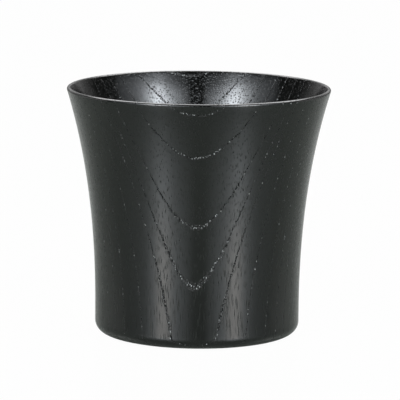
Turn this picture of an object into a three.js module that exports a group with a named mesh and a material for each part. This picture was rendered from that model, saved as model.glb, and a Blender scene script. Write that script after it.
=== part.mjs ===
// A flared wooden cup under black lacquer, standing on its foot ring.
//
// The cup is turned on a lathe from one block of long-grained wood, so its wall, floor and foot are a single
// piece. Lacquer then covers the wood all over in three films, brushed on one after the other: one under the
// foot, one up the outside and one down the inside. The films meet on the foot ring's outer edge and on the
// crest of the lip.
//
// Millimetres, +Z up. The origin is at the middle of the foot, on the surface that the cup stands on.

import * as THREE from "three";

// Driving dimensions of the finished cup, over the lacquer.
const LIP_DIAMETER = 90; // across the widest point of the lip
const CUP_HEIGHT = 84.5; // from the table to the crest of the lip
const BASE_DIAMETER = 70; // outside, where the wall rises from the rounded foot edge
const OUTSIDE_LEAN = 17; // degrees that the outside leans outwards where it reaches the lip
const INSIDE_LEAN = 23; // degrees that the inside does there, which is more, so the wall thins upwards
const FOOT_TANGENT = 12; // how far the wall holds its upright line above the foot or the floor
const OUTSIDE_TANGENT = 36; // how far the lean at the lip reaches back down the outside
const INSIDE_TANGENT = 22; // how far the lean at the lip reaches back down the inside
const LIP_THICKNESS = 1.5; // the lip is a full round of this width
const WALL_AT_FLOOR = 4; // thickness of the wall where the floor's fillet runs into it
const FLOOR_THICKNESS = 6; // from the underside's recess to the floor of the bowl
const FLOOR_FILLET = 10; // radius between the floor and the wall, inside
const FOOT_EDGE_RADIUS = 4; // rounding between the wall and the foot ring, outside
const FOOT_RING_WIDTH = 4; // the flat ring that the cup stands on
const FOOT_RECESS_DEPTH = 2; // hollow turned into the underside, and the radius of its cove
const COAT_THICKNESS = 0.15; // one film of lacquer

// Steps of the turn, and of each curve of the profile.
const TURN_STEPS = 60;
const WALL_STEPS = 9;
const OUTER_LIP_STEPS = 4;
const INNER_LIP_STEPS = 3;
const FILLET_STEPS = 4;
const COVE_STEPS = 3;

const WOOD = new THREE.MeshStandardMaterial({ color: 0x8a5e38, roughness: 0.8, metalness: 0 });
const UNDERSIDE_LACQUER = new THREE.MeshStandardMaterial({ color: 0x1d1d1b, roughness: 0.45, metalness: 0 });
const OUTSIDE_LACQUER = new THREE.MeshStandardMaterial({ color: 0x1c1d1c, roughness: 0.38, metalness: 0 });
const INSIDE_LACQUER = new THREE.MeshStandardMaterial({ color: 0x191a1a, roughness: 0.3, metalness: 0 });

const QUARTER_TURN = Math.PI / 2;
const outsideLean = THREE.MathUtils.degToRad(OUTSIDE_LEAN);
const insideLean = THREE.MathUtils.degToRad(INSIDE_LEAN);

// Profiles are drawn in a half plane through the axis: x is the radius and y is the height.
const at = (radius, height) => new THREE.Vector2(radius, height);
const line = (from, to) => new THREE.LineCurve(from, to);

function arc(centre, radius, startAngle, endAngle) {
  const clockwise = endAngle < startAngle;
  return new THREE.EllipseCurve(centre.x, centre.y, radius, radius, startAngle, endAngle, clockwise);
}

// The four points of a wall's sweep, which starts upright and ends leaning outwards at the lip.
function sweep(bottom, top, lean, tangent) {
  const aboveBottom = at(bottom.x, bottom.y + FOOT_TANGENT);
  const belowTop = at(top.x - tangent * Math.sin(lean), top.y - tangent * Math.cos(lean));
  return [bottom, aboveBottom, belowTop, top];
}

// Points along a run of curves, each cut into its own number of steps and starting where the last one ends.
function trace(...runs) {
  const [firstCurve] = runs[0];
  const points = [firstCurve.getPoint(0)];
  for (const [curve, steps] of runs) points.push(...curve.getPoints(steps).slice(1));
  return points;
}

// The profile moved into the wood, which lies on its left. Each corner is mitred, so the film between the
// two keeps its thickness all the way round.
function inset(points, distance) {
  const normals = points.slice(1).map((point, i) => {
    const along = point.clone().sub(points[i]).normalize();
    return at(-along.y, along.x);
  });
  return points.map((point, i) => {
    const before = normals[Math.max(i - 1, 0)];
    const after = normals[Math.min(i, normals.length - 1)];
    const mitre = before.clone().add(after).divideScalar(1 + before.dot(after));
    return point.clone().addScaledVector(mitre, distance);
  });
}

// Where the stretches of the profile start and end.
const lipRadius = LIP_THICKNESS / 2;
const lipCentre = at(LIP_DIAMETER / 2 - lipRadius, CUP_HEIGHT - lipRadius);
const squareTo = (lean) => at(Math.cos(lean), -Math.sin(lean)); // outwards from a wall that leans
const outerLip = lipCentre.clone().addScaledVector(squareTo(outsideLean), lipRadius);
const innerLip = lipCentre.clone().addScaledVector(squareTo(insideLean), -lipRadius);

const outerRadius = BASE_DIAMETER / 2;
const ringOuter = outerRadius - FOOT_EDGE_RADIUS;
const ringInner = ringOuter - FOOT_RING_WIDTH;
const footEdgeCentre = at(ringOuter, FOOT_EDGE_RADIUS);
const coveCentre = at(ringInner - FOOT_RECESS_DEPTH, 0);

const floorHeight = FOOT_RECESS_DEPTH + FLOOR_THICKNESS;
const innerRadius = outerRadius - WALL_AT_FLOOR;
const filletCentre = at(innerRadius - FLOOR_FILLET, floorHeight + FLOOR_FILLET);

const outerWall = sweep(at(outerRadius, footEdgeCentre.y), outerLip, outsideLean, OUTSIDE_TANGENT);
const innerWall = sweep(at(innerRadius, filletCentre.y), innerLip, insideLean, INSIDE_TANGENT);

// The finished surface, from the middle of the underside, up the outside, over the lip and down to the floor.
const underside = trace(
  [line(at(0, FOOT_RECESS_DEPTH), at(coveCentre.x, FOOT_RECESS_DEPTH)), 1],
  [arc(coveCentre, FOOT_RECESS_DEPTH, QUARTER_TURN, 0), COVE_STEPS],
  [line(at(ringInner, 0), at(ringOuter, 0)), 1],
);
const outside = trace(
  [arc(footEdgeCentre, FOOT_EDGE_RADIUS, -QUARTER_TURN, 0), FILLET_STEPS],
  [new THREE.CubicBezierCurve(...outerWall), WALL_STEPS],
  [arc(lipCentre, lipRadius, -outsideLean, QUARTER_TURN), OUTER_LIP_STEPS],
);
const inside = trace(
  [arc(lipCentre, lipRadius, QUARTER_TURN, Math.PI - insideLean), INNER_LIP_STEPS],
  [new THREE.CubicBezierCurve(...innerWall.toReversed()), WALL_STEPS],
  [arc(filletCentre, FLOOR_FILLET, 0, -QUARTER_TURN), FILLET_STEPS],
  [line(at(filletCentre.x, floorHeight), at(0, floorHeight)), 1],
);

// The bare wood lies one film's thickness under the finished surface.
const bareWood = inset([...underside, ...outside.slice(1), ...inside.slice(1)], COAT_THICKNESS);
const footEdge = underside.length - 1; // where the underside's film ends and the outside's starts
const crest = footEdge + outside.length - 1; // where the outside's film ends and the inside's starts
const woodUnder = bareWood.slice(0, footEdge + 1);
const woodOutside = bareWood.slice(footEdge, crest + 1);
const woodInside = bareWood.slice(crest);

// Each film fills the space between the finished surface and the wood. Its section goes out along one and
// back along the other, from the axis to the axis or, up the outside, round a closed loop.
const undersideFilm = [...underside, ...woodUnder.toReversed()];
const outsideFilm = [...outside, ...woodOutside.toReversed(), outside[0]];
const insideFilm = [...woodInside.toReversed(), ...inside];

function turned(name, section, material) {
  const mesh = new THREE.Mesh(new THREE.LatheGeometry(section, TURN_STEPS), material);
  mesh.name = name;
  return mesh;
}

const cup = new THREE.Group();
cup.add(
  turned("turned_wood_body", bareWood, WOOD),
  turned("underside_lacquer_coat", undersideFilm, UNDERSIDE_LACQUER),
  turned("outside_lacquer_coat", outsideFilm, OUTSIDE_LACQUER),
  turned("inside_lacquer_coat", insideFilm, INSIDE_LACQUER),
);
cup.rotation.x = QUARTER_TURN; // a lathe turns about Y, and the cup stands along Z

export default cup;
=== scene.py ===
"""A flared wooden cup under black lacquer, dressed for its portrait.

The cup is turned from one block of long-grained wood and covered by three films of lacquer. Each film is
thin enough for the wood's growth rings to show through it as rows of open pores.

Run as a script in Blender. Metres, +Z up, the origin at the middle of the foot, the camera on the -Y side.
"""

from math import asin, cos, pi, radians, sin
from typing import NamedTuple

import bmesh
import bpy
from bpy.props import FloatProperty, FloatVectorProperty, IntProperty, PointerProperty
from mathutils import Matrix, Vector
from mathutils.geometry import interpolate_bezier


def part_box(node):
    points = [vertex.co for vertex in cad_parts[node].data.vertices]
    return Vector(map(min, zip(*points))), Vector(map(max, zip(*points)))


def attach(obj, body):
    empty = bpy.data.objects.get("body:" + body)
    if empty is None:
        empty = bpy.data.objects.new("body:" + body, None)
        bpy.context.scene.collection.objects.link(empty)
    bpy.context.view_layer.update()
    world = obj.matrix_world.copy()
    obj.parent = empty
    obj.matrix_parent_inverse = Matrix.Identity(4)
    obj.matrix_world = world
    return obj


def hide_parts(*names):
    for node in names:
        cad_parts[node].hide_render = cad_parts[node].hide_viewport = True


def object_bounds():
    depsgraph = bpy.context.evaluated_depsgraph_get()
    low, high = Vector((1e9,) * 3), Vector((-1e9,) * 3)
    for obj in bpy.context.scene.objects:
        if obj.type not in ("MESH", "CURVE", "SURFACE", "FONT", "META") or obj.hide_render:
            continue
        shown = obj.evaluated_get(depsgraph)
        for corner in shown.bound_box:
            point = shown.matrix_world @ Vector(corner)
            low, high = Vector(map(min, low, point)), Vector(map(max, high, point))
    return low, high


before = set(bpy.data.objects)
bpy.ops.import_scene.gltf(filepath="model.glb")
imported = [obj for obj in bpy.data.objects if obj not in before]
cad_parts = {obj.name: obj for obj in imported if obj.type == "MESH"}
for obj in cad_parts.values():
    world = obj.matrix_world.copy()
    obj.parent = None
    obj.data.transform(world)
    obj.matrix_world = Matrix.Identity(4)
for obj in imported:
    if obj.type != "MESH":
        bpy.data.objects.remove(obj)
CAD_LOW, CAD_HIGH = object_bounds()
FOOT_LOW, FOOT_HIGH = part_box("underside_lacquer_coat")

bl_info = {
    "name": "Lacquered wooden cup",
    "version": (1, 0, 0),
    "blender": (4, 5, 0),
    "location": "3D View > Sidebar > Cup",
    "description": "Turns a flared wooden cup, lacquers it and lights it",
    "category": "Add Mesh",
}

MM = 0.001
QUARTER_TURN = pi / 2
WHITE = (1, 1, 1, 1)
BODY = "root"

MERGE_DISTANCE = 1e-6  # vertices that lie closer than this are one
SHARP_EDGE = radians(40)  # edges that turn further than this are shaded sharp
SCREEN_STEPS = 36  # faces round the bend of a screen

# Where the year rings cross the cup, in millimetres from its axis at half its height.
FRONT_RINGS = (23.85, 28.6, 32.6, 34.43, 36.8, 41.73, 46.05)
BACK_RINGS = (23.6, 27.15, 30.1, 33.25, 37.3, 40.95, 45.2)
MIDDLE_RINGS = 12
RING_REACH = 50  # how far to each side of the axis the rings are laid out

# How a ring wanders from a true circle.
WOBBLE_PITCH = 18 * MM  # across the grain
WOBBLE_LENGTH = 90 * MM  # along the grain
WOBBLE_DETAIL = 2.0

# Pits, which are the pores where they are cut open, and the streaks of the fibres.
RING_SHIFT = (17.3, 9.7, 0)  # how far the pattern of pits is moved from one ring to the next, in pits
PIT_REACH = 0.62  # how far a pit reaches from its middle, in pits
PIT_FLOOR = 0.5  # share of a pit's width that its floor takes up
PIT_THINNING = 2.0  # the power by which the pits of a year thin out
STREAK_FADE = (0.5, 0.2)  # where a streak starts and where it is whole, in streaks from its middle
WOOD_ROUGHNESS = (0.7, 0.9)  # between the streaks and along them

# Pores under the lacquer. Each has a chance from 0 to 1, and a pair says where a change starts and ends.
FLAT_SAWN = (0.9, 0.995)  # how squarely the wall faces the pith, from 0 to 1
# Pale pores are partly a real pale filler and partly painted glints: a pale colour that stands in for lamp
# light caught on the rims of pores.
PALE_PORES_FROM = (0.86, 0.5)  # the chance from which pores are filled, in other cuts and in flat-sawn ones
PALE_PORE_CORE = (0.6, 1.0)  # how far inside a pore its filler lies
OPEN_FROM = (0.1, 0.35)  # the chance from which pores are left open
SMALL_PORE_SHARE = 0.22  # how open the small pores are

# What the lacquer shows: nibs, which are specks of dust in it, and streaks along the wood's fibres.
NIB_PITCH = 0.54 * MM
NIB_REACH = 0.42  # how far a nib reaches from its middle, in nibs
OUTSIDE_NIBS = 0.009 * MM  # height of the tallest nibs, outside and underneath
INSIDE_NIBS = 0.085 * MM  # height of the tallest nibs, inside
OUTSIDE_STREAKS = 1  # how much of the wood's fibres shows outside and underneath, from 0 to 1
INSIDE_STREAKS = 0.35  # how much of the wood's fibres shows inside, from 0 to 1

# Where the room's light starts and is whole, as the part of a direction that goes away, up or across.
BACK_AWAY = (0.4, 1.0)
BACK_UP = (0.06, 0.15)
TOP_UP = (0.5, 0.7)
TOP_AWAY = (0.0, 0.3)
SIDE_ACROSS = (0.7, 0.95)
SIDE_UP = (0.25, 0.1)

# How far behind the cup's axis the mirrored floor starts to whiten and where it is whitest, in metres.
WHITENING_AWAY = (0.05, 0.3)

# How bright a screen is, as a share of its brightest part: from its inner edge outwards, and upwards.
SCREEN_OUTWARDS = (
    (0, 0.06), (0.07, 0.15), (0.14, 0.25), (0.2, 0.35), (0.26, 0.5), (0.32, 0.75), (0.37, 1), (0.43, 0.98),
    (0.5, 0.64), (0.56, 0.37), (0.63, 0.2), (0.7, 0.11), (0.78, 0.07), (0.85, 0.05), (0.93, 0.04),
    (1, 0.01),
)
SCREEN_UPWARDS = (
    (0, 0.02), (0.19, 0.03), (0.24, 0.58), (0.43, 0.62), (0.52, 0.74), (0.6, 0.89), (0.69, 0.6),
    (0.8, 0.17), (1, 0.08),
)
# Where a screen's light turns to its low colour: the outward brightness, and the share of its height.
WARM_LEVEL = (0.3, 0.9)
WARM_HEIGHT = (0.5, 0.3)


class CupSizes(bpy.types.PropertyGroup):
    """Sizes of the finished cup, over the lacquer"""

    lip_diameter: FloatProperty(
        name="Lip diameter", description="Across the widest point of the lip",
        default=CAD_HIGH.x - CAD_LOW.x, unit="LENGTH",
    )
    cup_height: FloatProperty(
        name="Cup height", description="From the table to the crest of the lip",
        default=CAD_HIGH.z, unit="LENGTH",
    )
    ring_diameter: FloatProperty(
        name="Foot ring diameter",
        description="Across the outer edge of the flat ring that the cup stands on",
        default=FOOT_HIGH.x - FOOT_LOW.x, unit="LENGTH",
    )
    ring_width: FloatProperty(
        name="Foot ring width", description="From the flat ring's outer edge to its inner one",
        default=4 * MM, unit="LENGTH",
    )
    recess_depth: FloatProperty(
        name="Foot recess",
        description="Depth of the hollow inside the foot ring, and the radius of its cove",
        default=2 * MM, unit="LENGTH",
    )
    foot_edge: FloatProperty(
        name="Foot edge", description="Radius between the foot ring and the wall, outside",
        default=4 * MM, unit="LENGTH",
    )
    outside_lean: FloatProperty(
        name="Outside lean", description="How far the outside leans outwards where it reaches the lip",
        default=radians(17), subtype="ANGLE",
    )
    inside_lean: FloatProperty(
        name="Inside lean", description="How far the inside leans outwards where it reaches the lip",
        default=radians(23), subtype="ANGLE",
    )
    foot_tangent: FloatProperty(
        name="Foot tangent",
        description="How far the wall holds its upright line above the foot or the floor",
        default=12 * MM, unit="LENGTH",
    )
    outside_tangent: FloatProperty(
        name="Outside tangent", description="How far the lean at the lip reaches back down the outside",
        default=36 * MM, unit="LENGTH",
    )
    inside_tangent: FloatProperty(
        name="Inside tangent", description="How far the lean at the lip reaches back down the inside",
        default=22 * MM, unit="LENGTH",
    )
    lip_thickness: FloatProperty(
        name="Lip thickness", description="Width of the lip, which is a full round",
        default=1.5 * MM, unit="LENGTH",
    )
    wall_at_floor: FloatProperty(
        name="Wall at the floor", description="Thickness of the wall where the floor's fillet runs into it",
        default=4 * MM, unit="LENGTH",
    )
    floor_thickness: FloatProperty(
        name="Floor thickness", description="From the underside's recess to the floor of the bowl",
        default=6 * MM, unit="LENGTH",
    )
    floor_fillet: FloatProperty(
        name="Floor fillet", description="Radius between the floor and the wall, inside",
        default=10 * MM, unit="LENGTH",
    )
    coat_thickness: FloatProperty(
        name="Lacquer thickness", description="Thickness of one film of lacquer",
        default=0.15 * MM, unit="LENGTH",
    )
    turn_steps: IntProperty(
        name="Turn steps", description="Faces in one turn of the cup", default=192, min=24,
    )
    wall_steps: IntProperty(
        name="Wall steps", description="Faces up the sweep of the wall", default=48, min=8,
    )
    arc_steps: IntProperty(
        name="Arc steps", description="Faces round each arc of the profile", default=16, min=4,
    )


class GrainLook(bpy.types.PropertyGroup):
    """The growth rings and pores of the wood, which show through the lacquer"""

    pith_distance: FloatProperty(
        name="Pith distance", description="How far before the cup's axis the middle of the tree lay",
        default=1.0, unit="LENGTH",
    )
    pith_lean: FloatProperty(
        name="Pith lean", description="How far the tree's axis leaned towards the back of the cup",
        default=0.0465, subtype="ANGLE",
    )
    pith_turn: FloatProperty(
        name="Pith turn", description="How far the middle of the tree lay to one side",
        default=-0.0129, subtype="ANGLE",
    )
    ring_fan: FloatProperty(
        name="Ring fan",
        description="How fast the rings draw together from one side to the other, per metre",
        default=0.94,
    )
    ring_skew: FloatProperty(
        name="Ring skew", description="How fast the rings turn along the height of the cup, per metre",
        default=0.4,
    )
    ring_wobble: FloatProperty(
        name="Ring wobble", description="How far a ring wanders from a true circle",
        default=0.14 * MM, unit="LENGTH",
    )
    pore_size: FloatProperty(
        name="Pore size", description="Width of a large pore through the ring",
        default=0.32 * MM, unit="LENGTH",
    )
    pore_band: FloatProperty(
        name="Pore band", description="Width of the row of large pores that each year starts with",
        default=0.42 * MM, unit="LENGTH",
    )
    pore_pitch: FloatProperty(
        name="Pore pitch", description="Distance between neighbouring large pores",
        default=0.45 * MM, unit="LENGTH",
    )
    pore_length: FloatProperty(
        name="Pore length", description="Distance between large pores along the grain",
        default=0.7 * MM, unit="LENGTH",
    )
    pore_depth: FloatProperty(
        name="Pore depth", description="How deep a large pore is left open by the lacquer",
        default=0.06 * MM, unit="LENGTH",
    )
    hatch_size: FloatProperty(
        name="Small pore size", description="Width of a small pore through the ring",
        default=0.16 * MM, unit="LENGTH",
    )
    hatch_band: FloatProperty(
        name="Small pore band", description="How far the small pores reach from the start of a year",
        default=1.4 * MM, unit="LENGTH",
    )
    hatch_pitch: FloatProperty(
        name="Small pore pitch", description="Distance between the small pores that follow the large ones",
        default=0.34 * MM, unit="LENGTH",
    )
    hatch_length: FloatProperty(
        name="Small pore length", description="Distance between the small pores along the grain",
        default=1.2 * MM, unit="LENGTH",
    )
    hatch_depth: FloatProperty(
        name="Small pore depth", description="How deep the small pores are left open by the lacquer",
        default=0.007 * MM, unit="LENGTH",
    )
    fibre_pitch: FloatProperty(
        name="Fibre pitch", description="Distance between the fine streaks along the grain",
        default=0.42 * MM, unit="LENGTH",
    )
    fibre_length: FloatProperty(
        name="Fibre length", description="Length of the fine streaks along the grain",
        default=9 * MM, unit="LENGTH",
    )
    fibre_depth: FloatProperty(
        name="Fibre depth", description="Depth of the fine streaks along the grain",
        default=0.0085 * MM, unit="LENGTH",
    )


class LacquerLook(bpy.types.PropertyGroup):
    """Colours and gloss of the lacquer and of the wood under it"""

    dense_colour: FloatVectorProperty(
        name="Lacquer over dense fibres", description="Lacquer where the wood is dense",
        subtype="COLOR", size=4, min=0, max=1, default=(0.0012, 0.0014, 0.0012, 1),
    )
    loose_colour: FloatVectorProperty(
        name="Lacquer over loose fibres", description="Lacquer where the wood is loose",
        subtype="COLOR", size=4, min=0, max=1, default=(0.006, 0.0066, 0.0056, 1),
    )
    pore_dark: FloatVectorProperty(
        name="Open pore", description="Lacquer in the shade of an open pore",
        subtype="COLOR", size=4, min=0, max=1, default=(0.0015, 0.0015, 0.0015, 1),
    )
    # Partly a real pale filler and partly a painted glint: pale colour that stands in for light caught on
    # the rims of some pores.
    pore_filler_and_glint: FloatVectorProperty(
        name="Filled pore", description="Pale filler that shows in some of the pores",
        subtype="COLOR", size=4, min=0, max=1, default=(0.26, 0.27, 0.265, 1),
    )
    pore_shade: FloatVectorProperty(
        name="Pore shade", description="How much of its reflections an open pore keeps",
        subtype="COLOR", size=4, min=0, max=1, default=(0.08, 0.08, 0.08, 1),
    )
    wood_dark: FloatVectorProperty(
        name="Late wood", description="Bare wood at the end of a year's growth",
        subtype="COLOR", size=4, min=0, max=1, default=(0.235, 0.1, 0.034, 1),
    )
    wood_pale: FloatVectorProperty(
        name="Early wood", description="Bare wood at the start of a year's growth",
        subtype="COLOR", size=4, min=0, max=1, default=(0.36, 0.19, 0.08, 1),
    )
    outside_roughness: FloatProperty(
        name="Outside roughness", description="Between the streaks, outside", default=0.075, min=0, max=1,
    )
    inside_roughness: FloatProperty(
        name="Inside roughness", description="Between the streaks, inside", default=0.09, min=0, max=1,
    )
    underside_roughness: FloatProperty(
        name="Underside roughness", description="Over the end grain of the foot",
        default=0.42, min=0, max=1,
    )
    streak_roughening: FloatProperty(
        name="Streak roughening", description="How much rougher the lacquer is along some of the fibres",
        default=0.2, min=0, max=1,
    )
    streak_shade: FloatProperty(
        name="Streak shade", description="How much of a pore's shade there is along some of the fibres",
        default=0.45, min=0, max=1,
    )
    pore_roughness: FloatProperty(
        name="Pore roughness", description="Inside the pores", default=0.7, min=0, max=1,
    )
    outside_specular: FloatProperty(
        name="Outside specular",
        description="Strength of the reflections seen straight on, outside and underneath",
        default=0.55, min=0, max=1,
    )
    inside_specular: FloatProperty(
        name="Inside specular", description="Strength of the reflections seen straight on, inside",
        default=0.455, min=0, max=1,
    )


class StudioSettings(bpy.types.PropertyGroup):
    """Camera and light"""

    camera_distance: FloatProperty(
        name="Camera distance", description="From the cup's axis, along the table",
        default=1.187, unit="LENGTH",
    )
    camera_height: FloatProperty(
        name="Camera height", description="Above the table", default=0.2401, unit="LENGTH",
    )
    camera_pitch: FloatProperty(
        name="Camera pitch", description="How far the camera looks down",
        default=radians(9.312), subtype="ANGLE",
    )
    camera_roll: FloatProperty(
        name="Camera roll", description="How far the camera is turned about its own line of sight",
        default=radians(0.546), subtype="ANGLE",
    )
    camera_lens: FloatProperty(name="Lens", description="Focal length in millimetres", default=316.1)
    camera_shift: FloatProperty(name="Shift", description="Sideways shift of the frame", default=0.0052)
    screen_distance: FloatProperty(
        name="Screen distance", description="From the cup's axis to a screen",
        default=1.6, unit="LENGTH",
    )
    screen_start: FloatProperty(
        name="Screen start", description="Where a screen starts, to each side of the camera",
        default=radians(7), subtype="ANGLE",
    )
    screen_end: FloatProperty(
        name="Screen end", description="Where a screen ends, to each side of the camera",
        default=radians(88), subtype="ANGLE",
    )
    left_turn: FloatProperty(
        name="Left turn", description="How far the left screen is turned to the right",
        default=radians(1.5), subtype="ANGLE",
    )
    right_turn: FloatProperty(
        name="Right turn", description="How far the right screen is turned to the right",
        default=radians(3), subtype="ANGLE",
    )
    screen_height: FloatProperty(
        name="Screen height", description="From the table to the top of a screen",
        default=1.4, unit="LENGTH",
    )
    lamp_radiance: FloatProperty(
        name="Lamp radiance", description="Brightness of a screen before its lamp, where white paper is 1",
        default=29.2,
    )
    lamp_colour: FloatVectorProperty(
        name="Lamp colour", description="Colour of a lit screen", subtype="COLOR", size=4, min=0, max=1,
        default=(0.89, 0.945, 1, 1),
    )
    low_colour: FloatVectorProperty(
        name="Low lamp colour", description="Colour of a lit screen low down before its lamp",
        subtype="COLOR", size=4, min=0, max=1, default=(1, 0.97, 0.94, 1),
    )
    ambient: FloatProperty(
        name="Ambient", description="Brightness of the room where it lights dull surfaces",
        default=0.42, min=0,
    )
    room_shade: FloatProperty(
        name="Room shade", description="Brightness of the room before the cup, in reflections",
        default=0.06, min=0,
    )
    back_light: FloatProperty(
        name="Back light", description="Brightness of the room behind the cup, in reflections",
        default=0.75, min=0,
    )
    top_light: FloatProperty(
        name="Top light", description="Brightness of the room above the back of the cup, in reflections",
        default=7.0, min=0,
    )
    side_light: FloatProperty(
        name="Side light", description="Brightness of the room low down to each side, in reflections",
        default=1.3, min=0,
    )
    floor_colour: FloatVectorProperty(
        name="Floor", description="Colour of the floor", subtype="COLOR", size=4, min=0, max=1,
        default=(0.366, 0.392, 0.352, 1),
    )
    floor_roughness: FloatProperty(
        name="Floor roughness", description="Roughness of the floor", default=0.22, min=0, max=1,
    )
    floor_size: FloatProperty(name="Floor size", description="Side of the floor", default=8, unit="LENGTH")
    floor_whitening: FloatProperty(
        name="Floor whitening", description="Share of plain white in the floor where it is looked at",
        default=0.98, min=0, max=1,
    )
    mirrored_whitening: FloatProperty(
        name="Mirrored whitening",
        description="Share of plain white in the floor behind the cup where it is mirrored",
        default=0.14, min=0, max=1,
    )


class Profile:
    """Where the cup's section turns, in the XZ plane, at a depth under the finished surface"""

    def __init__(self, sizes, depth):
        self.depth = depth
        self.outside_lean = sizes.outside_lean
        self.inside_lean = sizes.inside_lean
        self.foot_tangent = sizes.foot_tangent
        self.outside_tangent = sizes.outside_tangent
        self.inside_tangent = sizes.inside_tangent
        self.wall_steps = sizes.wall_steps
        self.arc_steps = sizes.arc_steps

        full_lip = sizes.lip_thickness / 2
        self.lip_radius = full_lip - depth
        self.lip_centre = section_point(sizes.lip_diameter / 2 - full_lip, sizes.cup_height - full_lip)

        self.ring_outer = sizes.ring_diameter / 2
        outer_radius = self.ring_outer + sizes.foot_edge
        self.foot_edge_centre = section_point(self.ring_outer, sizes.foot_edge)

        self.cove_centre = section_point(self.ring_outer - sizes.ring_width - sizes.recess_depth, 0)
        self.cove_radius = sizes.recess_depth + depth

        self.floor_height = sizes.recess_depth + sizes.floor_thickness - depth
        self.inner_radius = outer_radius - sizes.wall_at_floor + depth
        fillet_height = sizes.recess_depth + sizes.floor_thickness + sizes.floor_fillet
        self.fillet_centre = section_point(
            outer_radius - sizes.wall_at_floor - sizes.floor_fillet, fillet_height,
        )

    def lip_point(self, angle):
        """A point on the lip, at an angle above the outward direction."""
        return self.lip_centre + self.lip_radius * section_point(cos(angle), sin(angle))

    def handles(self, bottom, top, lean, tangent):
        """The two handles of a wall's sweep, which is upright below and leans outwards above."""
        above_bottom = bottom + section_point(0, self.foot_tangent)
        below_top = top - tangent * section_point(sin(lean), cos(lean))
        return above_bottom, below_top


def section_point(radius, height):
    """A point in the half plane that the cup's section is drawn in."""
    return Vector((radius, 0, height))


def trace_line(mesh, start, end):
    """Draws a straight stretch and returns the vertex at its end."""
    vertex = bmesh.ops.extrude_vert_indiv(mesh, verts=[start])["verts"][0]
    vertex.co = end
    return vertex


def trace_arc(mesh, start, centre, turn, steps):
    """Swings a vertex about a centre, anticlockwise for a positive turn, and returns the last vertex."""
    swung = bmesh.ops.spin(mesh, geom=[start], cent=centre, axis=(0, -1, 0), angle=turn, steps=steps)
    return next(item for item in swung["geom_last"] if isinstance(item, bmesh.types.BMVert))


def trace_sweep(mesh, start, first_handle, second_handle, end, steps):
    """Draws a smooth sweep and returns the vertex at its end."""
    for point in interpolate_bezier(start.co, first_handle, second_handle, end, steps + 1)[1:]:
        start = trace_line(mesh, start, point)
    return start


def trace_underside(mesh, profile):
    """From the axis over the recess and its cove to the foot ring's outer edge."""
    first = mesh.verts.new(section_point(0, profile.cove_radius))
    vertex = trace_line(mesh, first, section_point(profile.cove_centre.x, profile.cove_radius))
    cove_turn = QUARTER_TURN - asin(profile.depth / profile.cove_radius)
    vertex = trace_arc(mesh, vertex, profile.cove_centre, -cove_turn, profile.arc_steps)
    return first, trace_line(mesh, vertex, section_point(profile.ring_outer, profile.depth))


def trace_outside(mesh, profile):
    """From the foot ring's outer edge up the wall to the crest of the lip."""
    first = mesh.verts.new(section_point(profile.ring_outer, profile.depth))
    vertex = trace_arc(mesh, first, profile.foot_edge_centre, QUARTER_TURN, profile.arc_steps)
    lean = profile.outside_lean
    lip = profile.lip_point(-lean)
    above_foot, below_lip = profile.handles(vertex.co.copy(), lip, lean, profile.outside_tangent)
    vertex = trace_sweep(mesh, vertex, above_foot, below_lip, lip, profile.wall_steps)
    return first, trace_arc(mesh, vertex, profile.lip_centre, QUARTER_TURN + lean, profile.arc_steps)


def trace_inside(mesh, profile):
    """From the crest of the lip down the wall and over the floor to the axis."""
    first = mesh.verts.new(profile.lip_point(QUARTER_TURN))
    lean = profile.inside_lean
    vertex = trace_arc(mesh, first, profile.lip_centre, QUARTER_TURN - lean, profile.arc_steps)
    bottom = section_point(profile.inner_radius, profile.fillet_centre.z)
    above_floor, below_lip = profile.handles(bottom, vertex.co.copy(), lean, profile.inside_tangent)
    vertex = trace_sweep(mesh, vertex, below_lip, above_floor, bottom, profile.wall_steps)
    vertex = trace_arc(mesh, vertex, profile.fillet_centre, -QUARTER_TURN, profile.arc_steps)
    return first, trace_line(mesh, vertex, section_point(0, profile.floor_height))


def film_section(mesh, sizes, trace):
    """The section of one film: the finished surface, the wood under it, and edges that join their ends."""
    face_ends = trace(mesh, Profile(sizes, 0))
    back_ends = trace(mesh, Profile(sizes, sizes.coat_thickness))
    for face_end, back_end in zip(face_ends, back_ends):
        on_axis = face_end.co.x < MERGE_DISTANCE
        if not on_axis:
            bmesh.ops.contextual_create(mesh, geom=[face_end, back_end])


def new_object(name, mesh):
    """Makes a mesh into an object of the scene."""
    data = bpy.data.meshes.new(name)
    mesh.to_mesh(data)
    mesh.free()
    made = bpy.data.objects.new(name, data)
    bpy.context.scene.collection.objects.link(made)
    return made


def turn_piece(name, mesh, sizes):
    """Turns a section about the cup's axis into a closed piece."""
    bmesh.ops.remove_doubles(mesh, verts=mesh.verts, dist=MERGE_DISTANCE)
    bmesh.ops.spin(
        mesh, geom=mesh.verts[:] + mesh.edges[:], cent=(0, 0, 0), axis=(0, 0, 1),
        angle=2 * pi, steps=sizes.turn_steps, use_merge=True,
    )
    bmesh.ops.remove_doubles(mesh, verts=mesh.verts, dist=MERGE_DISTANCE)
    bmesh.ops.recalc_face_normals(mesh, faces=mesh.faces)
    piece = new_object(name, mesh)
    piece.data.shade_smooth()
    piece.data.set_sharp_from_angle(angle=SHARP_EDGE)
    return piece


def dress(piece, node, material):
    """Puts a piece in its node's place, on the cup's one body."""
    piece.data.materials.append(material)
    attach(piece, BODY)
    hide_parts(node)


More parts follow.
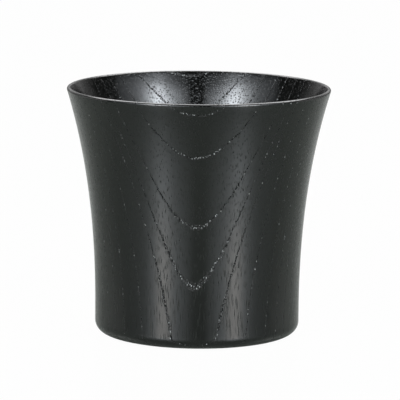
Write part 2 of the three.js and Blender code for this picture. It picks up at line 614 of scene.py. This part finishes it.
class NodeSheet:
    """Adds nodes to a node tree and links them"""

    def __init__(self, tree):
        self.tree = tree

    def add(self, kind, *inputs, **settings):
        """Adds a node, with its settings and its first inputs in order, and returns it."""
        node = self.tree.nodes.new(kind)
        for name, value in settings.items():
            setattr(node, name, value)
        for socket, value in zip(node.inputs, inputs):
            self.feed(socket, value)
        return node

    def feed(self, socket, value):
        """Links an output to a socket, or sets the socket's own value."""
        if isinstance(value, bpy.types.NodeSocket):
            self.tree.links.new(value, socket)
        else:
            socket.default_value = value

    def math(self, operation, *inputs):
        """Works out a number from others."""
        return self.add("ShaderNodeMath", *inputs, operation=operation).outputs[0]

    def vector(self, operation, *inputs):
        """Works out a vector from others."""
        return self.add("ShaderNodeVectorMath", *inputs, operation=operation).outputs[0]

    def axes(self, vector):
        """The X, Y and Z of a vector."""
        return self.add("ShaderNodeSeparateXYZ", vector).outputs

    def length(self, vector):
        """The length of a vector."""
        return self.add("ShaderNodeVectorMath", vector, operation="LENGTH").outputs["Value"]

    def cells(self, place, dimensions):
        """A pattern of cells, about one to each unit of the place."""
        node = self.add("ShaderNodeTexVoronoi", voronoi_dimensions=dimensions, feature="F1")
        self.feed(node.inputs["Vector"], place)
        self.feed(node.inputs["Scale"], 1.0)
        return node.outputs

    def scale(self, value, from_low, from_high, to_low=0.0, to_high=1.0):
        """A value carried evenly from one range to another."""
        node = self.add("ShaderNodeMapRange", value, from_low, from_high, to_low, to_high)
        return node.outputs["Result"]

    def ramp(self, value, from_low, from_high, to_low=0.0, to_high=1.0):
        """A value carried smoothly from one range to another."""
        node = self.add(
            "ShaderNodeMapRange", value, from_low, from_high, to_low, to_high,
            interpolation_type="SMOOTHSTEP",
        )
        return node.outputs["Result"]

    def course(self, value, points):
        """A value led along straight lines between points, with both ways counted from 0 to 1."""
        node = self.add("ShaderNodeFloatCurve", 1.0, value)
        ends = node.mapping.curves[0].points
        ends[0].location = points[0]
        ends[-1].location = points[-1]
        for place, level in points[1:-1]:
            ends.new(place, level)
        for point in ends:
            point.handle_type = "VECTOR"
        node.mapping.update()
        return node.outputs["Value"]

    def between(self, share, first, second):
        """A value between two others."""
        node = self.add("ShaderNodeMix", share, data_type="FLOAT")
        self.feed(node.inputs["A"], first)
        self.feed(node.inputs["B"], second)
        return node.outputs["Result"]

    def blend(self, share, first, second):
        """A colour between two others."""
        node = self.add("ShaderNodeMix", data_type="RGBA")
        self.feed(node.inputs["Factor"], share)
        self.feed(node.inputs["A"], first)
        self.feed(node.inputs["B"], second)
        return node.outputs["Result"]


def ring_places():
    """Where the rings lie from the front of the cup to its back, in millimetres from its axis."""
    front = [-place for place in reversed(FRONT_RINGS)]
    step = (BACK_RINGS[0] - front[-1]) / (MIDDLE_RINGS + 1)
    middle = [front[-1] + step * (i + 1) for i in range(MIDDLE_RINGS)]
    return front + middle + list(BACK_RINGS)


LAST_YEAR = len(ring_places()) + 1


def ring_course():
    """How the years are counted from the cup's front to its back, with both ways counted from 0 to 1."""
    rings = [
        ((ring + RING_REACH) / (2 * RING_REACH), year / LAST_YEAR)
        for year, ring in enumerate(ring_places(), start=1)
    ]
    return [(0, 0), *rings, (1, 1)]


class Grain:
    """Nodes that follow the wood: its rings, its pores and its fibres"""

    def __init__(self, sheet, grain, half_height):
        self.sheet = sheet
        self.grain = grain
        place = sheet.add("ShaderNodeTexCoord").outputs["Object"]
        offset = (0, grain.pith_lean * half_height + grain.pith_distance, 0)
        turn = (grain.pith_lean, 0, grain.pith_turn)
        self.place = sheet.add("ShaderNodeMapping", place, offset, turn).outputs["Vector"]
        wobble = sheet.add("ShaderNodeTexNoise", noise_dimensions="3D")
        sheet.feed(wobble.inputs["Vector"], self.along_grain(WOBBLE_PITCH, WOBBLE_LENGTH))
        sheet.feed(wobble.inputs["Detail"], WOBBLE_DETAIL)
        centred = sheet.math("SUBTRACT", wobble.outputs["Fac"], 0.5)
        wander = sheet.math("MULTIPLY", centred, 2 * grain.ring_wobble)
        across = sheet.vector("MULTIPLY", self.place, (1, 1, 0))
        from_pith = sheet.length(across)
        sides = sheet.axes(place)
        fan = sheet.math("MULTIPLY", sides["Y"], grain.ring_fan)
        skew = sheet.math("MULTIPLY", sheet.math("SUBTRACT", sides["Z"], half_height), grain.ring_skew)
        slant = sheet.math("MULTIPLY", sides["X"], sheet.math("ADD", fan, skew))
        ring_place = sheet.math("ADD", sheet.math("SUBTRACT", from_pith, slant), wander)
        year = self.year_at(ring_place)
        self.year = sheet.math("FLOOR", year)
        self.phase = sheet.math("FRACT", year)
        self.since_start = sheet.math("SUBTRACT", ring_place, self.start_of(self.year))
        axes = sheet.axes(self.place)
        self.unrolled = sheet.add("ShaderNodeCombineXYZ", axes["X"], axes["Z"], 0.0).outputs["Vector"]

    def along_grain(self, pitch, length):
        """The place on the piece, counted in pitches across the grain and lengths along it."""
        return self.sheet.vector("MULTIPLY", self.place, (1 / pitch, 1 / pitch, 1 / length))

    def year_at(self, from_pith):
        """The number of rings between the front of the cup and a distance from the pith."""
        share = self.sheet.scale(from_pith, *self.ring_reach())
        return self.sheet.math("MULTIPLY", self.sheet.course(share, ring_course()), LAST_YEAR)

    def start_of(self, year):
        """The distance from the pith where a year starts."""
        turned = [(level, place) for place, level in ring_course()]
        share = self.sheet.course(self.sheet.math("DIVIDE", year, LAST_YEAR), turned)
        return self.sheet.scale(share, 0.0, 1.0, *self.ring_reach())

    def ring_reach(self):
        """The distances from the pith between which the rings are laid out."""
        pith = self.grain.pith_distance
        return pith - RING_REACH * MM, pith + RING_REACH * MM

    def pits(self, pitch, length, size, band):
        """Long pits in each year's ring: how far inside one a place lies, from 0 to 1, and its chance.

        The pits lie side by side along the ring, in a band that starts with the year and thins out.
        """
        sheet = self.sheet
        spot = sheet.vector("MULTIPLY", self.unrolled, (1 / pitch, 1 / length, 0))
        shift = sheet.vector("MULTIPLY", self.year, RING_SHIFT)
        cells = sheet.cells(sheet.vector("ADD", spot, shift), "2D")
        chances = sheet.add("ShaderNodeSeparateColor", cells["Color"]).outputs
        thinned = sheet.math("POWER", chances["Green"], PIT_THINNING)
        middle = sheet.math("MULTIPLY_ADD", thinned, band - size, size / 2)
        through = sheet.math("DIVIDE", sheet.math("SUBTRACT", self.since_start, middle), size / 2)
        along = sheet.math("DIVIDE", cells["Distance"], PIT_REACH)
        away = sheet.length(sheet.add("ShaderNodeCombineXYZ", through, along, 0.0).outputs["Vector"])
        return sheet.ramp(away, 1.0, PIT_FLOOR), chances["Red"]

    def pores(self):
        """Large pores, in a row where each year starts."""
        grain = self.grain
        return self.pits(grain.pore_pitch, grain.pore_length, grain.pore_size, grain.pore_band)

    def small_pores(self):
        """Small pores, which thin out as the year goes on."""
        grain = self.grain
        return self.pits(grain.hatch_pitch, grain.hatch_length, grain.hatch_size, grain.hatch_band)

    def fibres(self):
        """Fine streaks along the grain."""
        grain = self.grain
        cells = self.sheet.cells(self.along_grain(grain.fibre_pitch, grain.fibre_length), "3D")
        return self.sheet.ramp(cells["Distance"], *STREAK_FADE)

    def relief(self, pores, small_pores, fibres):
        """Height of the surface over the pores and fibres, in millimetres."""
        grain = self.grain
        large = self.sheet.math("MULTIPLY", pores, -grain.pore_depth / MM)
        small = self.sheet.math("MULTIPLY", small_pores, -grain.hatch_depth / MM)
        streaks = self.sheet.math("MULTIPLY", fibres, -grain.fibre_depth / MM)
        return self.sheet.math("ADD", self.sheet.math("ADD", large, small), streaks)


def bump(sheet, relief):
    """Turns a height in millimetres into the surface's normal."""
    node = sheet.add("ShaderNodeBump")
    sheet.feed(node.inputs["Strength"], 1.0)
    sheet.feed(node.inputs["Distance"], MM)
    sheet.feed(node.inputs["Height"], relief)
    return node.outputs["Normal"]


def new_material(name):
    """A material with a plain shader, its node sheet and its shader."""
    material = bpy.data.materials.new(name)
    material.use_nodes = True
    sheet = NodeSheet(material.node_tree)
    return material, sheet, material.node_tree.nodes["Principled BSDF"]


class Finish(NamedTuple):
    """How one film of lacquer turned out"""

    roughness: float
    specular: float
    streaks: float  # how much of the wood's fibres shows, from 0 to 1
    nib_height: float  # of the tallest specks of dust


def nib_relief(sheet, wood, tallest):
    """Height of the specks of dust in the lacquer, in millimetres."""
    cells = sheet.cells(wood.along_grain(NIB_PITCH, NIB_PITCH), "3D")
    chance = sheet.add("ShaderNodeSeparateColor", cells["Color"]).outputs["Red"]
    height = sheet.math("MULTIPLY", chance, tallest / MM)
    pointed = sheet.scale(cells["Distance"], NIB_REACH, 0.0)
    return sheet.math("MULTIPLY", pointed, height)


def lacquer_material(name, scene, finish):
    """Black lacquer over open-grained wood, with fine nibs of its own."""
    look = scene.lacquer_look
    material, sheet, shader = new_material(name)
    wood = Grain(sheet, scene.grain_look, scene.cup_sizes.cup_height / 2)
    pores, pore_chance = wood.pores()
    small_pores, _ = wood.small_pores()
    fibres = sheet.math("MULTIPLY", wood.fibres(), finish.streaks)
    pitted = wood.relief(pores, small_pores, fibres)
    relief = sheet.math("ADD", pitted, nib_relief(sheet, wood, finish.nib_height))
    sheet.feed(shader.inputs["Normal"], bump(sheet, relief))

    film = sheet.blend(fibres, look.dense_colour, look.loose_colour)
    normal = sheet.add("ShaderNodeNewGeometry").outputs["Normal"]
    level = sheet.vector("NORMALIZE", sheet.vector("MULTIPLY", normal, (1, 1, 0)))
    towards_pith = sheet.axes(level)["Y"]
    squareness = sheet.math("MULTIPLY", towards_pith, towards_pith)
    # Painted glints: some pores get a pale base colour, partly real filler and partly standing in for light
    # caught on their rims.
    pale_from = sheet.ramp(squareness, *FLAT_SAWN, *PALE_PORES_FROM)
    chosen = sheet.ramp(pore_chance, pale_from, 1.0)
    pale_share = sheet.math("MULTIPLY", chosen, sheet.ramp(pores, *PALE_PORE_CORE))
    in_pores = sheet.blend(pale_share, look.pore_dark, look.pore_filler_and_glint)
    sheet.feed(shader.inputs["Base Color"], sheet.blend(pores, film, in_pores))

    streaked = sheet.math("MULTIPLY_ADD", fibres, look.streak_roughening, finish.roughness)
    open_large = sheet.math("MULTIPLY", pores, sheet.ramp(pore_chance, *OPEN_FROM))
    open_small = sheet.math("MULTIPLY", small_pores, SMALL_PORE_SHARE)
    open_share = sheet.math("MAXIMUM", open_large, open_small)
    sheet.feed(shader.inputs["Roughness"], sheet.between(open_share, streaked, look.pore_roughness))
    sheet.feed(shader.inputs["Specular IOR Level"], finish.specular)
    shaded = sheet.math("MAXIMUM", open_share, sheet.math("MULTIPLY", fibres, look.streak_shade))
    sheet.feed(shader.inputs["Specular Tint"], sheet.blend(shaded, WHITE, look.pore_shade))
    return material


def wood_material(name, scene):
    """Bare wood with its growth rings and open pores."""
    look = scene.lacquer_look
    material, sheet, shader = new_material(name)
    wood = Grain(sheet, scene.grain_look, scene.cup_sizes.cup_height / 2)
    pores, _ = wood.pores()
    small_pores, _ = wood.small_pores()
    fibres = wood.fibres()
    sheet.feed(shader.inputs["Normal"], bump(sheet, wood.relief(pores, small_pores, fibres)))
    ringed = sheet.blend(wood.phase, look.wood_pale, look.wood_dark)
    sheet.feed(shader.inputs["Base Color"], sheet.blend(pores, ringed, look.wood_dark))
    sheet.feed(shader.inputs["Roughness"], sheet.ramp(fibres, 0.0, 1.0, *WOOD_ROUGHNESS))
    return material


class CUP_OT_wood_body(bpy.types.Operator):
    """Turns the wood, one film's thickness under the finished surface"""

    bl_idname = "cup.wood_body"
    bl_label = "Turn the Wood"

    def execute(self, context):
        scene = context.scene
        sizes = scene.cup_sizes
        wood = Profile(sizes, sizes.coat_thickness)
        mesh = bmesh.new()
        for trace in (trace_underside, trace_outside, trace_inside):
            trace(mesh, wood)
        piece = turn_piece("wood_body", mesh, sizes)
        dress(piece, "turned_wood_body", wood_material("turned wood", scene))
        return {"FINISHED"}


def lacquer_film(scene, stretch, trace, finish):
    """One film of lacquer, over the stretch of the cup that a trace follows."""
    mesh = bmesh.new()
    film_section(mesh, scene.cup_sizes, trace)
    piece = turn_piece(f"{stretch}_lacquer", mesh, scene.cup_sizes)
    material = lacquer_material(f"{stretch} lacquer", scene, finish)
    dress(piece, f"{stretch}_lacquer_coat", material)


class CUP_OT_lacquer_films(bpy.types.Operator):
    """Lacquers the underside, the outside and the inside"""

    bl_idname = "cup.lacquer_films"
    bl_label = "Lacquer the Cup"

    def execute(self, context):
        scene = context.scene
        look = scene.lacquer_look
        specular = look.outside_specular
        underside = Finish(look.underside_roughness, specular, OUTSIDE_STREAKS, OUTSIDE_NIBS)
        outside = Finish(look.outside_roughness, specular, OUTSIDE_STREAKS, OUTSIDE_NIBS)
        inside = Finish(look.inside_roughness, look.inside_specular, INSIDE_STREAKS, INSIDE_NIBS)
        lacquer_film(scene, "underside", trace_underside, underside)
        lacquer_film(scene, "outside", trace_outside, outside)
        lacquer_film(scene, "inside", trace_inside, inside)
        return {"FINISHED"}


def mirrored(path, sheet):
    """1 for a ray that shows the studio in a reflection or through glass."""
    return sheet.math("MAXIMUM", path["Is Glossy Ray"], path["Is Transmission Ray"])


def floor_material(studio):
    """A pale glossy floor that looks white and keeps the cup's shadow."""
    material, sheet, shader = new_material("studio floor")
    sheet.feed(shader.inputs["Base Color"], studio.floor_colour)
    sheet.feed(shader.inputs["Roughness"], studio.floor_roughness)
    white = sheet.add("ShaderNodeEmission", WHITE, 1.0).outputs[0]
    path = sheet.add("ShaderNodeLightPath").outputs
    straight = sheet.math("MULTIPLY", path["Is Camera Ray"], studio.floor_whitening)
    away = sheet.axes(sheet.add("ShaderNodeTexCoord").outputs["Object"])["Y"]
    behind = sheet.ramp(away, *WHITENING_AWAY, 0.0, studio.mirrored_whitening)
    share = sheet.math("MULTIPLY_ADD", mirrored(path, sheet), behind, straight)
    surface = sheet.add("ShaderNodeMixShader", share, shader.outputs[0], white).outputs[0]
    sheet.feed(material.node_tree.nodes["Material Output"].inputs["Surface"], surface)
    return material


def light_room(scene, studio):
    """A white background, and a dark room with light behind the cup, above its back and low beside it."""
    world = bpy.data.worlds.new("studio room")
    world.use_nodes = True
    scene.world = world
    sheet = NodeSheet(world.node_tree)
    path = sheet.add("ShaderNodeLightPath").outputs
    axes = sheet.axes(sheet.add("ShaderNodeTexCoord").outputs["Generated"])
    behind = sheet.math("MULTIPLY", sheet.ramp(axes["Y"], *BACK_AWAY), sheet.ramp(axes["Z"], *BACK_UP))
    back = sheet.math("MULTIPLY_ADD", behind, studio.back_light, studio.room_shade)
    above = sheet.math("MULTIPLY", sheet.ramp(axes["Z"], *TOP_UP), sheet.ramp(axes["Y"], *TOP_AWAY))
    sideways = sheet.ramp(sheet.math("ABSOLUTE", axes["X"]), *SIDE_ACROSS)
    beside = sheet.math("MULTIPLY", sideways, sheet.ramp(axes["Z"], *SIDE_UP))
    topped = sheet.math("MULTIPLY_ADD", above, studio.top_light, back)
    room = sheet.math("MULTIPLY_ADD", beside, studio.side_light, topped)
    reflected = mirrored(path, sheet)
    dull = sheet.math("SUBTRACT", 1.0, reflected)
    seen = sheet.math("MULTIPLY", reflected, room)
    lit = sheet.math("MULTIPLY_ADD", dull, studio.ambient, seen)
    strength = sheet.math("MAXIMUM", path["Is Camera Ray"], lit)
    background = world.node_tree.nodes["Background"]
    sheet.feed(background.inputs["Color"], WHITE)
    sheet.feed(background.inputs["Strength"], strength)


def screen_material(name, studio, side):
    """A white screen, brightest before the lamp behind it."""
    material = bpy.data.materials.new(name)
    material.use_nodes = True
    tree = material.node_tree
    tree.nodes.remove(tree.nodes["Principled BSDF"])
    sheet = NodeSheet(tree)
    axes = sheet.axes(sheet.add("ShaderNodeTexCoord").outputs["Object"])
    sideways = sheet.math("MULTIPLY", axes["X"], side)
    turn = sheet.math("ARCTAN2", sideways, sheet.math("MULTIPLY", axes["Y"], -1.0))
    outwards = sheet.scale(turn, studio.screen_start, studio.screen_end)
    upwards = sheet.math("DIVIDE", axes["Z"], studio.screen_height)
    outward_level = sheet.course(outwards, SCREEN_OUTWARDS)
    level = sheet.math("MULTIPLY", outward_level, sheet.course(upwards, SCREEN_UPWARDS))
    strength = sheet.math("MULTIPLY", level, studio.lamp_radiance)
    before_lamp = sheet.ramp(outward_level, *WARM_LEVEL)
    warmth = sheet.math("MULTIPLY", before_lamp, sheet.ramp(upwards, *WARM_HEIGHT))
    colour = sheet.blend(warmth, studio.lamp_colour, studio.low_colour)
    glow = sheet.add("ShaderNodeEmission", colour, strength).outputs[0]
    sheet.feed(tree.nodes["Material Output"].inputs["Surface"], glow)
    return material


def place_screen(name, studio, side, turn):
    """A tall screen, bent round the cup out of the camera's sight."""
    mesh = bmesh.new()
    start = side * studio.screen_start
    foot = mesh.verts.new((studio.screen_distance * sin(start), -studio.screen_distance * cos(start), 0))
    trace_line(mesh, foot, foot.co + Vector((0, 0, studio.screen_height)))
    bend = side * (studio.screen_end - studio.screen_start)
    bmesh.ops.spin(
        mesh, geom=mesh.verts[:] + mesh.edges[:], cent=(0, 0, 0), axis=(0, 0, 1),
        angle=bend, steps=SCREEN_STEPS,
    )
    screen = new_object(name, mesh)
    screen.data.materials.append(screen_material(name, studio, side))
    screen.rotation_euler = (0, 0, turn)
    screen.visible_camera = False


def place_camera(scene, studio):
    """The camera, at the photograph's place."""
    data = bpy.data.cameras.new("camera")
    data.lens = studio.camera_lens
    data.shift_x = studio.camera_shift
    camera = bpy.data.objects.new("camera", data)
    stand = Matrix.Translation((0, -studio.camera_distance, studio.camera_height))
    tilt = Matrix.Rotation(QUARTER_TURN - studio.camera_pitch, 4, "X")
    roll = Matrix.Rotation(studio.camera_roll, 4, "Z")
    camera.matrix_world = stand @ tilt @ roll
    scene.collection.objects.link(camera)
    scene.camera = camera


class CUP_OT_stage(bpy.types.Operator):
    """Sets the floor, the lights and the camera"""

    bl_idname = "cup.stage"
    bl_label = "Set the Stage"

    def execute(self, context):
        scene = context.scene
        studio = scene.studio_settings
        mesh = bmesh.new()
        bmesh.ops.create_grid(mesh, x_segments=1, y_segments=1, size=studio.floor_size / 2)
        floor = new_object("floor", mesh)
        floor.data.materials.append(floor_material(studio))

        light_room(scene, studio)
        place_screen("left_screen", studio, -1, studio.left_turn)
        place_screen("right_screen", studio, 1, studio.right_turn)
        place_camera(scene, studio)
        scene.view_settings.view_transform = "Standard"
        return {"FINISHED"}


class CUP_PT_panel(bpy.types.Panel):
    """Lists the steps that make the cup, and what can be changed"""

    bl_idname = "CUP_PT_panel"
    bl_label = "Lacquered Cup"
    bl_space_type = "VIEW_3D"
    bl_region_type = "UI"
    bl_category = "Cup"

    def draw(self, context):
        for operator in (CUP_OT_wood_body, CUP_OT_lacquer_films, CUP_OT_stage):
            self.layout.operator(operator.bl_idname)
        for setting, group_type in SETTINGS.items():
            box = self.layout.box()
            group = getattr(context.scene, setting)
            for name in group_type.__annotations__:
                box.prop(group, name)


SETTINGS = {
    "cup_sizes": CupSizes,
    "grain_look": GrainLook,
    "lacquer_look": LacquerLook,
    "studio_settings": StudioSettings,
}
CLASSES = (*SETTINGS.values(), CUP_OT_wood_body, CUP_OT_lacquer_films, CUP_OT_stage, CUP_PT_panel)


def register():
    """Adds the classes, and the settings to the scene."""
    for added in CLASSES:
        bpy.utils.register_class(added)
    for name, group in SETTINGS.items():
        setattr(bpy.types.Scene, name, PointerProperty(type=group))


def unregister():
    """Takes the settings and the classes away again."""
    for name in SETTINGS:
        delattr(bpy.types.Scene, name)
    for added in reversed(CLASSES):
        bpy.utils.unregister_class(added)


def main():
    """Makes the cup and its stage."""
    register()
    bpy.ops.cup.wood_body()
    bpy.ops.cup.lacquer_films()
    bpy.ops.cup.stage()


if __name__ == "__main__":
    main()
